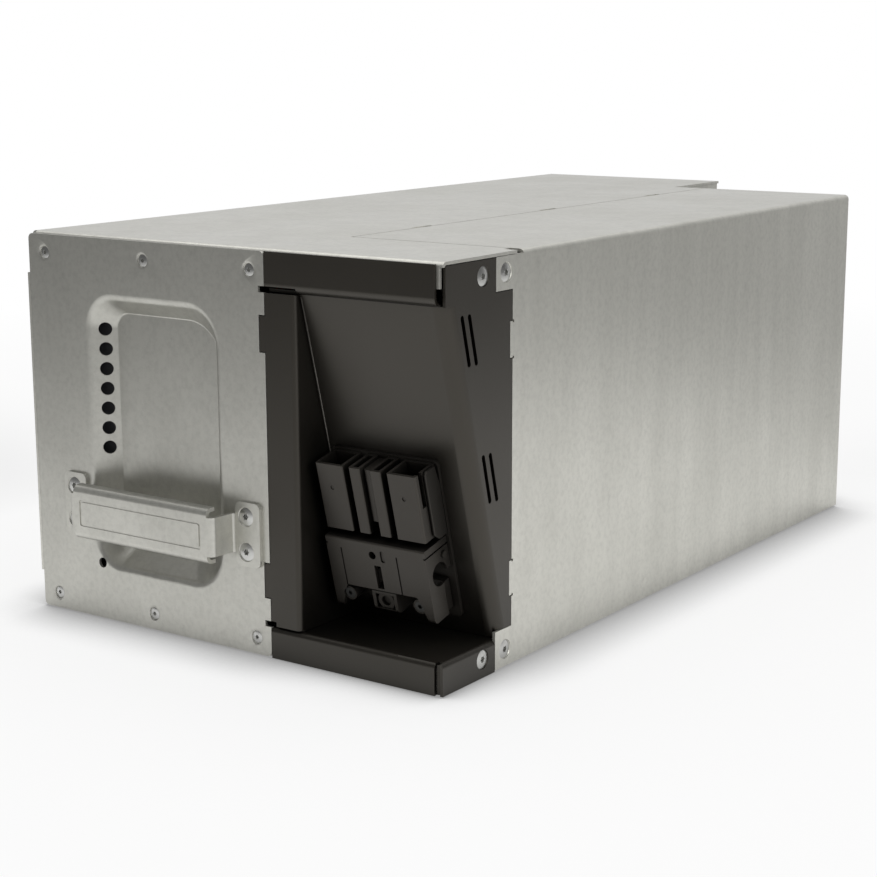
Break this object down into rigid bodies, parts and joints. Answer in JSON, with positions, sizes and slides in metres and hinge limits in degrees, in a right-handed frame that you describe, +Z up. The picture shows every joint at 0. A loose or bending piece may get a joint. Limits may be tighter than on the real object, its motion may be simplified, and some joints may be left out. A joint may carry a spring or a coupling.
{
  "type": "ups battery cartridge",
  "caption": "Galvanised slide-in battery cartridge with strap handle over a drawn finger pocket and a black corner recess holding a plug-in connector on a sloping wall.",
  "frame": {"origin": "centre of the bounding box at the underside", "axes": "-Y out of the front with the handle, +X towards the plain side beside the connector recess, +Z up; the longest extent runs along Y"},
  "size_m": [0.204, 0.411, 0.157],
  "materials": {
    "zinc": "galvanised sheet with a faint spangle and vertical streaks",
    "zinc_handle": "galvanised strap, slightly brighter than the sheet",
    "black_coat": "fine satin black coating",
    "screw": "bright zinc",
    "black_screw": "black oxide",
    "connector": "moulded black with a faint sheen",
    "contact": "tinned copper alloy",
    "red_insulation": "insulated lead",
    "black_insulation": "insulated lead",
    "fuse_body": "capped cartridge",
    "liner": "insulating sheet",
    "foam": "closed-cell foam",
    "block_case": "moulded battery case"
  },
  "bodies": {
    "root": {"front_plate": "zinc", "handle": "zinc_handle", "front_screws": "screw", "handle_screws": "screw", "left_shell": "zinc", "right_shell": "zinc", "base_tray": "zinc", "rear_panel": "zinc", "recess_panel": "black_coat", "recess_jamb": "black_coat", "recess_floor": "black_coat", "side_screws": "screw", "connector_plate": "connector", "connector_carrier": "connector", "power_shroud_negative": "connector", "power_shroud_positive": "connector", "signal_shroud_left": "connector", "signal_shroud_right": "connector", "connector_latch": "connector", "connector_screws": "black_screw", "side_clip": "connector", "power_contacts": "contact", "signal_contacts": "contact", "series_links": "red_insulation", "cross_link": "red_insulation", "positive_lead": "red_insulation", "negative_lead": "black_insulation", "fuse_holder": "connector", "fuse": "fuse_body", "signal_leads": "black_insulation", "temperature_sensor": "black_insulation", "base_pad": "liner", "top_foam": "foam", "retaining_bracket": "zinc", "cable_ties": "black_insulation", "battery_block_01": "block_case", "battery_block_02": "block_case", "battery_block_03": "block_case", "battery_block_04": "block_case", "battery_block_05": "block_case", "battery_block_06": "block_case", "battery_block_07": "block_case", "battery_block_08": "block_case", "battery_block_09": "block_case", "battery_block_10": "block_case"}
  },
  "joints": []
}
